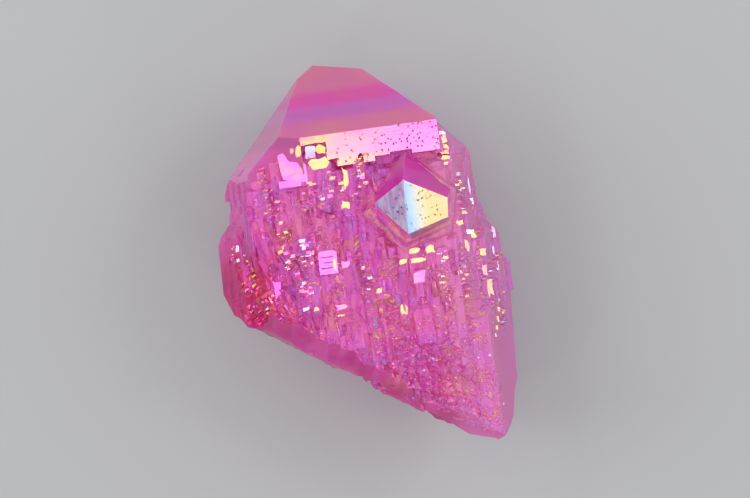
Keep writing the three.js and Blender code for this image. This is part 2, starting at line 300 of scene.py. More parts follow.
def prepared(bm, name, slot=BODY, film=SAME):
    """A mesh that carries the material slots and the film attribute of the crystal.
    `slot` and `film` are one value, or a list with a value for each face."""
    mesh = bpy.data.meshes.new(name)
    bm.to_mesh(mesh)
    bm.free()
    for _ in range(BROKEN + 1):
        mesh.materials.append(None)
    count = len(mesh.polygons)
    slots = slot if isinstance(slot, list) else [slot] * count
    films = film if isinstance(film, list) else [film] * count
    layer = mesh.attributes.new("film", "FLOAT", "FACE")
    layer.data.foreach_set("value", [float(f) for f in films])
    mesh.polygons.foreach_set("material_index", slots)
    return mesh


def closed_mesh(corners, faces, slot, film=SAME):
    """A closed mesh from corners in the crystal's frame, with outward faces."""
    bm = bmesh.new()
    verts = [bm.verts.new(TO_PART @ c) for c in corners]
    for face in faces:
        bm.faces.new([verts[k] for k in face])
    bmesh.ops.recalc_face_normals(bm, faces=bm.faces)
    return prepared(bm, "form", slot, film)


def column_mesh(tip, radius, length, out, tilt, slot, film=SAME, blunt=1.0, wide=1.0):
    """A closed six-sided column with a six-sided tip, one wall facing `out`. `blunt` is the
    height of its tip and `wide` its width, as shares of a regular column's."""
    across = Vector((0, 1, 0)).cross(out)
    rise = blunt * radius * math.cos(math.radians(30)) / math.tan(TIP_SLOPE)
    corners = []
    for v in (-length, 0.0):
        for k in range(6):
            a = math.radians(30 + 60 * k)
            side = across * (wide * radius * math.sin(a))
            corners.append(side + out * (radius * math.cos(a)) + Vector((0, v, 0)))
    corners.append(Vector((0, rise, 0)))
    faces = [tuple(range(6))]
    for k in range(6):
        n = (k + 1) % 6
        faces.append((n, k, 6 + k, 6 + n))
        faces.append((6 + n, 6 + k, 12))
    return closed_mesh([tip + tilt @ c for c in corners], faces, slot, film)


def block(outline, first, second):
    """Corners and faces of an upright block with the given outline in (u, v). Its two ends
    are at the heights `first` and `second`, each a function of u."""
    count = len(outline)
    corners = [Vector((u, v, height(u))) for height in (first, second) for u, v in outline]
    faces = [tuple(range(count)), tuple(range(2 * count - 1, count - 1, -1))]
    for k in range(count):
        n = (k + 1) % count
        faces.append((k, n, count + n, count + k))
    return corners, faces


def plate_mesh(outline, front, depth, slot, film=SAME):
    """A closed plate with the given outline in (u, v). Its face looks out of the front,
    at the height `front`, which is a number or a function of u. Only that face has the
    finish and film asked for. With a depth below 0 the plate stands on that height."""
    height = front if callable(front) else lambda u: front
    corners, faces = block(outline, height, lambda u: height(u) - depth)
    others = len(faces) - 1
    return closed_mesh(corners, faces, [slot] + [BODY] * others, [film] + [SAME] * others)


def ragged_outline(u, v, width, height, stray):
    """Eight corners round an oblong; `stray` is how far they wander, as a share of it."""
    shape = ((-1, -1), (0, -1), (1, -1), (1, 0), (1, 1), (0, 1), (-1, 1), (-1, 0))
    return [
        (u + (du + rng.uniform(-stray, stray)) * width / 2,
         v + (dv + rng.uniform(-stray, stray)) * height / 2)
        for du, dv in shape
    ]


class Skin:
    """Finds the present skin of the crystal along a ray."""

    def __init__(self, obj):
        self.tree = BVHTree.FromObject(obj, bpy.context.evaluated_depsgraph_get())

    def reach(self, turn, along, v):
        """Distance of the skin from the axis, and how squarely it faces out."""
        out, across = face_axes(turn)
        start = TO_PART @ (across * along + out * OUTSIDE + Vector((0, v, 0)))
        inward = (TO_PART.to_3x3() @ -out).normalized()
        place, normal, _, _ = self.tree.ray_cast(start, inward)
        if place is None:
            return None, 0.0
        return (TO_CRYSTAL @ place).dot(out), -normal.dot(inward)

    def front(self, u, v):
        return self.reach(0, u, v)


class Growth:
    """Small solids gathered to be joined to the crystal, or cut from it, in one step."""

    def __init__(self):
        self.skin = Skin(crystal)
        self.pieces = bpy.data.collections.new("pieces")
        bpy.context.scene.collection.children.link(self.pieces)

    def add(self, mesh):
        self.pieces.objects.link(bpy.data.objects.new("piece", mesh))

    def apply(self, operation):
        step = crystal.modifiers.new("combine", "BOOLEAN")
        step.operation = operation
        step.solver = "MANIFOLD"
        step.operand_type = "COLLECTION"
        step.collection = self.pieces
        graph = bpy.context.evaluated_depsgraph_get()
        mesh = bpy.data.meshes.new_from_object(crystal.evaluated_get(graph))
        crystal.modifiers.clear()
        crystal.data = mesh
        for piece in list(self.pieces.objects):
            bpy.data.objects.remove(piece)
        bpy.data.collections.remove(self.pieces)


def welded_copy(obj, name):
    bm = bmesh.new()
    bm.from_mesh(obj.data)
    bmesh.ops.remove_doubles(bm, verts=bm.verts, dist=WELD)
    return object_from(prepared(bm, name), name)


# ---------------- the large forms
crystal = welded_copy(CAD, "crystal")


def sort_faces(mesh):
    """Polish the tip, the ledge, the small crystal and the clean right side."""
    for face in mesh.polygons:
        centre = TO_CRYSTAL @ face.center
        normal = (TO_CRYSTAL.to_3x3() @ face.normal).normalized()
        high = centre.z > POLISHED_FROM
        tip = centre.y > LEDGE_FOOT and normal.z < 0.95
        side = centre.x > 15.5 and abs(normal.y) < 0.1 and normal.z < 0.8
        face.material_index = MIRROR if high or tip or side else BODY
        if high and centre.z < FRONT + 0.05 and centre.y < 12 and normal.z > 0.95:
            face.material_index = FLASH


def shoulder_front(u):
    return FILLED + SHOULDER_DROP * (u - SHOULDER_FROM)


def reshape_front():
    """Turn the shoulder away, take some stretches down and fill the bays of the ledge."""
    cut = Growth()
    cut.add(plate_mesh(OVER_SHOULDER, shoulder_front, -6, MIRROR))
    for outline in TRIMS:
        cut.add(plate_mesh(outline, TRIMMED, -3, BODY))
    cut.apply("DIFFERENCE")
    fill = Growth()
    fill.add(plate_mesh(SHOULDER, shoulder_front, 6, MIRROR))
    for outline in LEDGE_BAYS:
        fill.add(plate_mesh(outline, FILLED, 3, MIRROR))
    fill.apply("UNION")


def small_tilt(spread):
    return (
        Matrix.Rotation(math.radians(rng.gauss(0, 1.2 * spread)), 3, "Z")
        @ Matrix.Rotation(math.radians(rng.gauss(0, spread)), 3, "X")
        @ Matrix.Rotation(math.radians(rng.gauss(0, spread)), 3, "Y")
    )


def grown(u, v, spread):
    """Turn of a small column on the front. At the lower left the columns run down to the
    right, elsewhere they stand along the axis, and all stray by `spread` degrees."""
    slope = min(0.55, 0.06 * max(0.0, 8 - v)) * left_share(u)
    return Matrix.Rotation(math.atan(slope), 3, "Z") @ small_tilt(spread)


def broad_columns():
    """Smooth broad columns that fill the deepest hollows beside the ledge and between
    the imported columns, and the plateau left of the ledge."""
    growth = Growth()

    # On the upper left side.
    out, across = face_axes(-60)
    for along, radius in ((6.6, 1.2), (10.2, 1.5)):
        top = min(13.6, 6.6 + 0.85 * along)
        tip = out * (SIDE_FRONT - rng.uniform(0, 0.08) - radius * FLAT) + across * along
        growth.add(column_mesh(tip + Vector((0, top, 0)), radius, 20, out, small_tilt(0.3),
                               BODY, wide=2.8))
    growth.add(plate_mesh(PLATEAU, PLATEAU_FRONT, 2, FLASH, PINK))

    # On the front, from left to right and each time from the top down.
    along = -15.5
    while along < 13:
        v = front_top(along) + rng.uniform(-1, 0.5)
        while v > break_line(along) + 5:
            radius = rng.uniform(1.2, 2.2)
            length = rng.uniform(5, 9)
            if is_open(along, v) and v > crust_top(along):
                tip = Vector((along, v, rng.uniform(24.0, 24.5) - radius * FLAT))
                length = min(length, v - break_line(along) - 2.5)
                growth.add(column_mesh(tip, radius, length, OUT, grown(along, v, 0.5), BODY,
                                       film=rng.gauss(0, 5), blunt=0.5, wide=1.1))
            v -= rng.uniform(4, 7)
        along += rng.uniform(1.6, 2.8)
    growth.apply("UNION")


# ---------------- the etched front
def cell(place):
    """The growth cell a place falls in: three random shares and the way to its middle."""
    _, middles = noise.voronoi(place)
    return noise.cell_vector(middles[0]), place - middles[0]


def crust_relief(u, v):
    """The crust: ragged rows that run down to the right, and grains set askew."""
    down, over = crust_rows(u, v)
    row = noise.noise(Vector((down * 0.35, over * 0.9, 7.7)))
    wave = noise.noise(Vector((down * 0.9 + row, over * 2.1, 3.1)))
    grain, off = cell(Vector((down / 0.9, over / 0.4, 4.4)))
    height = 0.2 + 0.25 * row - 0.42 * abs(wave) + 0.08 * grain.x
    height += 0.24 * (grain.y - 0.5) * off.x + 0.3 * (grain.z - 0.5) * off.y
    film = PEACH if row > 0.1 and grain.x > 0.6 else CRUST_FILMS[int(3.99 * grain.x)]
    return height, CRUST, film


def etched(u, v):
    """Relief of the etched front at a place, with its finish and film.

    Long blocks stand at different heights. Between them run strings of low shelves, each
    tipped a little up or down, and elsewhere the blocks are broken into smaller ones. The
    lower left corner is glassy, and the crust has a relief of its own.
    """
    glassy = smooth(-19.2 - 0.35 * (v + 1.75) - u, -0.4, 0.6) * smooth(-v, -6, -3)
    if glassy > 0.3:
        return 0.25 * glassy + 0.12 * noise.noise(Vector((u * 0.5, v * 0.3, 9))), BODY, SAME

    # The columns sway, slip past each other, and close up towards the lower left.
    sway = noise.noise(Vector((u * 0.7, v * 0.45, 3.3)))
    slip = noise.noise(Vector((u * 0.7, v * 0.45, 53.3)))
    converge = -0.03 * max(0.0, 8 - v) ** 2 * left_share(u)
    along = u + converge + 0.7 * noise.noise(Vector((u * 0.2, v * 0.2, 2))) + 0.45 * sway
    v = v + 1.1 * slip
    if v < crust_top(u) + 0.6:
        return crust_relief(u, v)

    # The front is calmer at its left edge and at the upper right.
    calm = 0.65 * max(smooth(-u, 11, 14), smooth(u, 12.5, 14) * smooth(v, 0, 4))
    share, _ = cell(Vector((along / 2.1, v / 6.5, 1.7)))
    height = 0.2 + 0.5 * (share.x - 0.36) * (1 - calm)
    if noise.noise(Vector((along * 0.55, v * 0.05, 8.3))) - 0.12 * calm > 0.06:
        shelf, off = cell(Vector((along / 1.2, v / 0.36, 5.2)))
        height += -0.15 + 0.14 * shelf.x + 0.30 * (shelf.y - 0.5) * off.y
        return height, SHELF, SHELF_FILMS[int(9.99 * shelf.z)]
    part, off = cell(Vector((along / 1.25, v / 2.1, 6.6)))
    height += 0.16 * part.x * (1 - calm)
    height += 0.10 * (part.y - 0.5) * off.y + 0.08 * (part.z - 0.5) * off.x
    height += 0.03 * noise.noise(Vector((along * 0.6, v * 4.0, 1.1)))
    return height, BODY, 16 * (part.z - 0.6)


def skirt(u, v):
    """Height and film of the slope the small crystal grows out of, ridged round it."""
    down = from_small_crystal(u, v)
    ridges = noise.noise(Vector((down * 6, (u - v) * 0.25, 5.5)))
    lumps = noise.noise(Vector((u * 0.45, v * 0.45, 6.1)))
    height = 25.75 - 1.15 * smooth(down, -0.2, 1.1) + 0.16 * ridges + 0.3 * lumps
    return height, PEACH if ridges > 0.1 else SAME


def sheet_base(skin):
    """The rows of the sheet, the u of each of its columns there, and the solid's height.
    The sheet ends short of the break and of the clean right side."""
    rows = numpy.arange(SHEET_FOOT, SHEET_TOP, SHEET_PITCH)
    spread = numpy.zeros((len(rows), SHEET_COLUMNS))
    base = numpy.zeros((len(rows), SHEET_COLUMNS))
    for r, v in enumerate(rows):
        right_end = 16.8 + 0.22 * max(0, v + 17)
        hits = [u for u in numpy.arange(-22, 20, 0.3)
                if v > break_line(u) + 1.4 and (skin.front(u, v)[0] or 0) > 15.5
                and u < right_end]
        spread[r] = numpy.linspace(hits[0] + 0.5, hits[-1] - 0.3, SHEET_COLUMNS)
        for c, u in enumerate(spread[r]):
            reach, _ = skin.front(u, v)
            base[r, c] = min(reach or 15, FRONT)
    return rows, spread, base


def calmed(base):
    """The heights of the solid with its small steps smoothed out."""
    calm = base
    for shift in (1, 2, 4):
        for axis in (0, 1):
            padded = numpy.pad(calm, shift, mode="edge")
            ahead = numpy.roll(padded, shift, axis)
            back = numpy.roll(padded, -shift, axis)
            calm = ((ahead + back + padded) / 3)[shift:-shift, shift:-shift]
    return numpy.minimum(calm, base + 0.7)


def sheet_place(u, v, base, calm, inside):
    """Height, slot and film of the sheet at a place. It shows where the front is etched
    and runs on below the surface of the solid elsewhere."""
    relief, slot, film = etched(u, v)
    shows = inside and is_open(u, v) and v < front_top(u)
    w = calm + relief - 0.2 if shows else base - 0.5
    w = min(w, SHEET_LIMIT)
    share = smooth(-from_small_crystal(u, v), -1.1, -0.85) * smooth(-v, -12.4, -11.6)
    if share > 0:
        slope, film = skirt(u, v)
        slot = SHELF if u - v < 3 else BODY
        w += share * (slope - w)
    return w, slot, film


def etched_front():
    """A sheet of fine relief laid over the front and joined to it."""
    growth = Growth()
    rows, spread, base = sheet_base(growth.skin)
    calm = calmed(base)
    columns = SHEET_COLUMNS
    top = []
    slots = []
    films = []
    for r, v in enumerate(rows):
        for c, u in enumerate(spread[r]):
            inside = min(c, columns - 1 - c, r, len(rows) - 1 - r) > 1
            w, slot, film = sheet_place(u, v, base[r, c], calm[r, c], inside)
            top.append(Vector((u, v, w)))
            slots.append(slot)
            films.append(film)
    bottom = [Vector((p.x, p.y, min(p.z, b) - 0.7)) for p, b in zip(top, base.flat)]
    count = len(top)
    faces = []
    face_slots = []
    face_films = []

    def add_face(corners, at):
        faces.append(corners)
        face_slots.append(slots[at])
        face_films.append(films[at])

    for r in range(len(rows) - 1):
        for c in range(columns - 1):
            k = r * columns + c
            quad = (k, k + 1, k + columns + 1, k + columns)
            for a, b, d in ((0, 1, 2), (0, 2, 3)):
                add_face((quad[a], quad[b], quad[d]), k)
                add_face((count + quad[d], count + quad[b], count + quad[a]), k)
    rim = list(range(columns))
    rim += [r * columns + columns - 1 for r in range(1, len(rows))]
    rim += [(len(rows) - 1) * columns + c for c in range(columns - 2, -1, -1)]
    rim += [r * columns for r in range(len(rows) - 2, 0, -1)]
    for a, b in zip(rim, rim[1:] + rim[:1]):
        add_face((b, a, count + a, count + b), a)
    growth.add(closed_mesh(top + bottom, faces, face_slots, face_films))
    growth.apply("UNION")


def windows():
    growth = Growth()
    for (u, v), width, height in WINDOWS:
        reach, _ = growth.skin.front(u, v)
        outline = ragged_outline(u, v, width, height, 0.25)
        growth.add(plate_mesh(outline, reach + 1, 1.5, BODY, 4))
    growth.apply("DIFFERENCE")


# ---------------- the small growth
def string_places():
    """Where the small shelves of the strings sit, and how wide the string is there."""
    for width, places in STRINGS:
        places = [Vector(p) for p in places]
        for a, b in zip(places, places[1:]):
            steps = max(1, round((b - a).length / 0.28))
            for k in range(steps):
                for _ in range(max(1, round(width / 1.2))):
                    yield a.lerp(b, k / steps), width


def shelves(growth):
    """The strings of small shelves. The bright ones lie nearly true to the front."""
    for at, width in seeded(string_places(), seed=10000):
        u = at.x + rng.uniform(-0.5, 0.5) * width
        reach, _ = growth.skin.front(u, at.y)
        if reach is None or on_flash(u, at.y):
            continue
        radius = rng.uniform(0.3, 0.6)
        tip = Vector((u, at.y, reach + rng.uniform(0.02, 0.2) - radius * FLAT))
        bright = rng.random() < (0.4 if u < -15 else 0.22)
        tilt = grown(u, at.y, 0.5 if bright else 5)
        length = rng.uniform(0.12, 0.5)
        film = rng.choice(BRIGHT_FILMS if bright else DULL_FILMS)
        growth.add(column_mesh(tip, radius, length, OUT, tilt, FLASH if bright else SHELF, film,
                               blunt=rng.uniform(0.2, 0.6), wide=rng.uniform(1.1, 2.0)))


def true_faces(growth):
    for (u, v), width, height, film in seeded(FLASHES, seed=20000):
        reach, _ = growth.skin.front(u, v)
        if reach is not None:
            outline = ragged_outline(u, v, width, height, 0.35)
            growth.add(plate_mesh(outline, min(reach + 0.12, FLASH_LIMIT), 2.4, FLASH, film))


def loose_columns(growth):
    """Loose short columns over the rest of the front."""
    for _ in seeded(range(230), seed=30000):
        u = rng.uniform(-16, 14)
        v = rng.uniform(break_line(u) + 2.5, front_top(u))
        reach, facing = growth.skin.front(u, v)
        if reach is None or facing < 0.9 or on_flash(u, v):
            continue
        if not is_open(u, v) or v < crust_top(u):
            continue
        radius = rng.uniform(0.2, 0.55)
        tip = Vector((u, v, reach + rng.uniform(0.05, 0.25) - radius * FLAT))
        length = rng.uniform(0.5, 2.2)
        growth.add(column_mesh(tip, radius, length, OUT, grown(u, v, 4), SHELF,
                               rng.gauss(0, 10), blunt=0.6, wide=rng.uniform(0.8, 1.4)))


def rim_columns(growth):
    """Columns that run out in short steps over the rim of the break."""
    for _ in seeded(range(420), seed=40000):
        u = rng.uniform(-19, 4.5)
        v = break_line(u) + rng.uniform(0.5, 5.0)
        reach, _ = growth.skin.front(u, v)
        if reach is None or reach < 14:
            continue
        radius = rng.uniform(0.3, 0.9)
        tip = Vector((u, v, reach + rng.uniform(0.05, 0.4) - radius * FLAT))
        tilt = grown(u, v, 5) @ Matrix.Rotation(math.radians(rng.uniform(0, 14)), 3, "X")
        growth.add(column_mesh(tip, radius, rng.uniform(0.3, 1.4), OUT, tilt, SHELF,
                               rng.gauss(0, 10), blunt=0.7, wide=rng.uniform(0.8, 1.4)))


def side_columns(growth):
    for turn, start, stop, top, bottom in SIDES:
        out, across = face_axes(turn)
        for _ in seeded(range(150), seed=50000 + 10 * turn):
            along = rng.uniform(start, stop)
            v = rng.uniform(bottom, top)
            reach, facing = growth.skin.reach(turn, along, v)
            if reach is None or facing < 0.9:
                continue
            radius = rng.uniform(0.25, 0.8)
            middle = reach + rng.uniform(0.03, 0.2) - radius * FLAT
            tip = out * middle + across * along + Vector((0, v, 0))
            length = rng.uniform(0.4, 4.0)
            growth.add(column_mesh(tip, radius, length, out, small_tilt(2), BODY,
                                   rng.gauss(0, 8), blunt=0.6))


def small_growth():
    growth = Growth()
    shelves(growth)
    true_faces(growth)
    loose_columns(growth)
    rim_columns(growth)
    side_columns(growth)
    growth.apply("UNION")


def crust():
    """Glittering grains, in ragged rows that run down to the right."""
    growth = Growth()
    for _ in seeded(range(800), seed=60000):
        u = rng.uniform(-1.4, 16.8)
        top = min(crust_top(u) + 1.2, -10.6 - 1.3 * max(0, u - 11.4))
        bottom = break_line(u) + 1.9 + 0.5 * noise.noise(Vector((u, 0, 0)))
        v = rng.uniform(bottom, -9.0)
        down, over = crust_rows(u, v)
        row = noise.noise(Vector((down * 0.35, over * 1.5, 0)))
        if v > top + 1.5 * row or row < -0.25:
            continue
        reach, _ = growth.skin.front(u, v)
        if reach is None:
            continue
        size = rng.uniform(0.12, 0.26) + 0.1 * max(0, row)
        turn = (
            Matrix.Rotation(rng.uniform(0, math.tau), 3, "Z")
            @ Matrix.Rotation(math.radians(rng.gauss(0, 16)), 3, "X")
            @ Matrix.Rotation(math.radians(rng.gauss(0, 9)), 3, "Y")
        )
        tip = Vector((u, v, reach - size * rng.uniform(0.3, 0.8)))
        growth.add(column_mesh(tip, size, size * rng.uniform(1.0, 2.5), OUT, turn, CRUST,
                               rng.choice(GRAIN_FILMS), blunt=rng.uniform(0.5, 1.5)))
    growth.apply("UNION")


# ---------------- the break
# The block that is cut away at the foot: where it begins along the break, its length and
# height, the steps of its uneven face, and the reach of its flat far side.
BREAK_FROM, BREAK_LENGTH, BREAK_PITCH = -26, 64, 0.32
BREAK_HEIGHT, BREAK_STEP = 34, 0.5
BREAK_FAR = 40

# Its reach at the back and how steeply it leans out from there, and the height from which
# it leans in again towards the rim, and how steeply.
BACK_REACH, BACK_LEAN = 15.3, 0.31
RIM_FROM, RIM_LEAN = 21.7, 0.95


def break_surface(along, w):
    """How far out the broken face stands, at a place along it and a height over the back."""
    profile = min(BACK_REACH + BACK_LEAN * w, BREAK_REACH, BREAK_REACH + RIM_LEAN * (RIM_FROM - w))
    waves = noise.fractal(Vector((along * 0.13, w * 0.16, 3.7)), 1.0, 2.1, 3)
    lumps = noise.fractal(Vector((along * 0.5, w * 0.35, 9.1)), 0.9, 2.2, 2)
    folds = noise.noise(Vector((along * 0.8 + 0.2 * w, w * 0.2, 4.2))) * smooth(w, 20.6, 22.5)
    depth = 0.25 + 0.9 * max(0.0, waves + 0.25) + 0.25 * lumps + 0.7 * folds
    return profile - max(0.05, depth)


def break_block():
    """Corners and faces of the block beyond the uneven, shell-like break."""
    columns = round(BREAK_LENGTH / BREAK_PITCH)
    rows = round(BREAK_HEIGHT / BREAK_STEP)

    def corner(r, c, reach=None):
        along = BREAK_FROM + c * BREAK_PITCH
        w = UNDER + r * BREAK_STEP
        out = break_surface(along, w) if reach is None else reach
        return BREAK_ALONG * along + BREAK_OUT * out + Vector((0, 0, w))

    corners = [corner(r, c) for r in range(rows + 1) for c in range(columns + 1)]
    outer = len(corners)
    corners += [corner(r, c, BREAK_FAR) for r in (0, rows) for c in (0, columns)]
    wide = columns + 1
    faces = []
    for r in range(rows):
        for c in range(columns):
            k = r * wide + c
            faces.append((k, k + 1, k + wide + 1, k + wide))
    last = rows * wide
    faces.append(tuple(range(wide)) + (outer + 1, outer))
    faces.append(tuple(range(last, last + wide)) + (outer + 3, outer + 2))
    faces.append(tuple(r * wide for r in range(rows + 1)) + (outer + 2, outer))
    faces.append(tuple(r * wide + columns for r in range(rows + 1)) + (outer + 3, outer + 1))
    faces.append((outer, outer + 1, outer + 3, outer + 2))
    return corners, faces


def fresh_break():
    """Cut the flat break back to an uneven one, and the worn corner away."""
    corner_block = block(WORN_CORNER, lambda u: UNDER, lambda u: OVER)
    for corners, faces in (break_block(), corner_block):
        growth = Growth()
        growth.add(closed_mesh(corners, faces, BROKEN, film=-2))
        growth.apply("DIFFERENCE")
    # What is left of the flat break is broken rock too.
    for face in crystal.data.polygons:
        outward = (TO_CRYSTAL.to_3x3() @ face.normal).normalized().dot(BREAK_OUT)
        reach = (TO_CRYSTAL @ face.center).dot(BREAK_OUT)
        if face.material_index == BODY and outward > 0.6 and reach > BREAK_REACH - 5:
            face.material_index = BROKEN


def fill_voids(mesh):
    """Fill the voids that the growth has shut in, by dropping every shell but the largest."""
    bm = bmesh.new()
    bm.from_mesh(mesh)
    shells = []
    seen = set()
    for first in bm.faces:
        if first in seen:
            continue
        shell = [first]
        seen.add(first)
        for face in shell:                # the list grows while it is walked
            for other in (other for edge in face.edges for other in edge.link_faces):
                if other not in seen:
                    seen.add(other)
                    shell.append(other)
        shells.append(shell)
    shells.sort(key=len)
    hidden = [face for shell in shells[:-1] for face in shell]
    bmesh.ops.delete(bm, geom=hidden, context="FACES")
    bm.to_mesh(mesh)
    bm.free()


sort_faces(crystal.data)
reshape_front()
broad_columns()
etched_front()
windows()
small_growth()
crust()
fresh_break()
fill_voids(crystal.data)

# Only the break is shaded smooth, the crystal's own faces are flat.
crystal.data.set_sharp_from_angle(angle=math.radians(35))
for face in crystal.data.polygons:
    face.use_smooth = face.material_index == BROKEN

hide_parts("quartz_crystal")
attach(crystal, "root")

# ---------------- the coating
# Body colours.
HOT_PINK = (0.90, 0.19, 0.52, 1)
MAGENTA = (0.70, 0.05, 0.40, 1)
BRIGHT_PINK = (1.0, 0.20, 0.62, 1)
PALE_PINK = (0.95, 0.50, 0.74, 1)
WINE = (0.66, 0.04, 0.25, 1)
RASPBERRY = (0.88, 0.14, 0.44, 1)
PURPLE = (0.76, 0.06, 0.52, 1)
CRIMSON = (0.82, 0.008, 0.10, 1)
DARK_RED = (0.52, 0.003, 0.06, 1)
VIOLET = (0.68, 0.25, 0.54, 1)
ROSE = (0.62, 0.17, 0.38, 1)
# Painted light on the polished faces: a pink and a white painted sheen, and a darker mauve painted
# shade.
PAINTED_SHEEN_PINK = (0.80, 0.38, 0.70, 1)
PAINTED_SHEEN_WHITE = (0.92, 0.72, 0.86, 1)
PAINTED_SHADE_MAUVE = (0.60, 0.22, 0.48, 1)
DARK = (0.05, 0.01, 0.03, 1)

FILM = 238                   # film thickness on the body, in nanometres
BUMP = 0.00006               # height of the growth lines, in metres

# What all finishes share. The quartz is cloudy: most of the light is scattered in it.
SHARED = {
    "IOR": 1.54,
    "Thin Film IOR": 2.2,
    "Transmission Weight": 0.1,
    "Subsurface Weight": 0.9,
    "Subsurface Radius": (1.0, 0.3, 0.6),
    "Subsurface Scale": 0.005,
}


class Wiring:
    """Short names for building the nodes of one finish of the crystal."""

    def __init__(self, name):
        self.name = name
        self.material = bpy.data.materials.new(name)
        self.material.use_nodes = True
        self.tree = self.material.node_tree
        self.shader = self.tree.nodes["Principled BSDF"]
        mapping = self.node("Mapping", vector_type="POINT")
        mapping.inputs["Scale"].default_value = (1 / MM, 1 / MM, 1 / MM)
        mapping.inputs["Rotation"].default_value = (0, 0, -LEAN)
        axes = self.node("TexCoord")
        self.feed(mapping.inputs["Vector"], axes.outputs["Object"])
        self.place = mapping.outputs["Vector"]          # in the crystal's own frame
        self.u, self.v, self.w = self.parts(self.place)
        self.aim = self.parts(axes.outputs["Normal"])   # the way the surface faces

    def node(self, kind, **settings):
        node = self.tree.nodes.new("ShaderNode" + kind)
        for key, value in settings.items():
            setattr(node, key, value)
        return node

    def feed(self, socket, value):
        if isinstance(value, bpy.types.NodeSocket):
            self.tree.links.new(value, socket)
        else:
            socket.default_value = value

    def parts(self, vector):
        node = self.node("SeparateXYZ")
        self.feed(node.inputs[0], vector)
        return node.outputs

    def math(self, operation, a, b=0.0):
        node = self.node("Math", operation=operation)
        self.feed(node.inputs[0], a)
        self.feed(node.inputs[1], b)
        return node.outputs[0]

    def add(self, *values):
        total = values[0]
        for value in values[1:]:
            total = self.math("ADD", total, value)
        return total

    def times(self, *values):
        product = values[0]
        for value in values[1:]:
            product = self.math("MULTIPLY", product, value)
        return product

    def vector(self, operation, a, b=(0, 0, 0), scale=1.0):
        node = self.node("VectorMath", operation=operation)
        self.feed(node.inputs[0], a)
        self.feed(node.inputs[1], b)
        self.feed(node.inputs[3], scale)
        return node.outputs["Vector"]

    def stretched(self, u, v, w):
        """The place, with each axis multiplied."""
        return self.vector("MULTIPLY", self.place, (u, v, w))

    def ramp(self, value, low, high, start=0.0, end=1.0, smooth=True):
        """Map low..high to start..end, held at both ends."""
        node = self.node("MapRange", interpolation_type="SMOOTHSTEP" if smooth else "LINEAR")
        for socket, setting in zip(node.inputs, (value, low, high, start, end)):
            self.feed(socket, setting)
        return node.outputs["Result"]

    def mix(self, factor, a, b, kind="RGBA"):
        node = self.node("Mix", data_type=kind)
        self.feed(node.inputs["Factor"], factor)
        self.feed(node.inputs["A"], a)
        self.feed(node.inputs["B"], b)
        return node.outputs["Result"]

    def noise(self, place, scale=1.0, detail=2.0, roughness=0.5):
        node = self.node("TexNoise")
        for key, value in (("Vector", place), ("Scale", scale), ("Detail", detail),
                           ("Roughness", roughness)):
            self.feed(node.inputs[key], value)
        return node.outputs["Fac"]

    def cells(self, place, scale=1.0, output="Color"):
        node = self.node("TexVoronoi")
        self.feed(node.inputs["Vector"], place)
        self.feed(node.inputs["Scale"], scale)
        return node.outputs[output]

    def bump(self, height, normal, strength):
        node = self.node("Bump")
        self.feed(node.inputs["Strength"], strength)
        self.feed(node.inputs["Distance"], BUMP)
        self.feed(node.inputs["Height"], height)
        self.feed(node.inputs["Normal"], normal)
        return node.outputs["Normal"]


def body_colour(w, low_left):
    """Deep and light streaks run along the axis, with pale flecks of growth and fracture
    inside. It is crimson at the lower left, violet down the right side, and the tip is a
    dusty rose, crossed by one magenta stripe that is a painted reflection."""
    streaks = w.noise(w.stretched(1.1, 0.17, 1.1), 1.0, 3.0, 0.6)
    colour = w.mix(w.ramp(streaks, 0.36, 0.58), MAGENTA, HOT_PINK)
    flecks = w.noise(w.stretched(2.6, 1.6, 2.6), 1.0, 3.0, 0.7)
    colour = w.mix(w.ramp(flecks, 0.54, 0.70, 0.0, 0.6), colour, PALE_PINK)
    reds = w.mix(w.ramp(streaks, 0.38, 0.60), DARK_RED, CRIMSON)
    if w.name in ("mirror", "flash"):
        colour = HOT_PINK
    # The crust is a brighter pink: partly its own colour, partly painted sheen standing in for the
    # glitter of its grains.
    if w.name == "crust":
        colour = w.mix(0.35, colour, BRIGHT_PINK)
    if w.name == "broken":
        clouds = w.noise(w.stretched(0.25, 0.25, 0.1))
        colour = w.mix(w.ramp(clouds, 0.35, 0.65), WINE, RASPBERRY)
        reds = WINE
    colour = w.mix(w.ramp(w.u, 7.0, 12.0, 0.0, 0.35), colour, PALE_PINK)
    colour = w.mix(low_left, colour, reds)
    colour = w.mix(w.ramp(w.u, 13.5, 17.5, 0.0, 0.8), colour, VIOLET)
    colour = w.mix(w.ramp(w.v, 15.5, 17.5), colour, ROSE)
    # The magenta stripe across the tip is painted reflection: the tip face's reflected light,
    # painted into its colour.
    painted_reflection_band = w.times(w.ramp(w.v, 21.5, 23.0), w.ramp(w.v, 25.0, 23.6))
    return w.mix(painted_reflection_band, colour, MAGENTA)


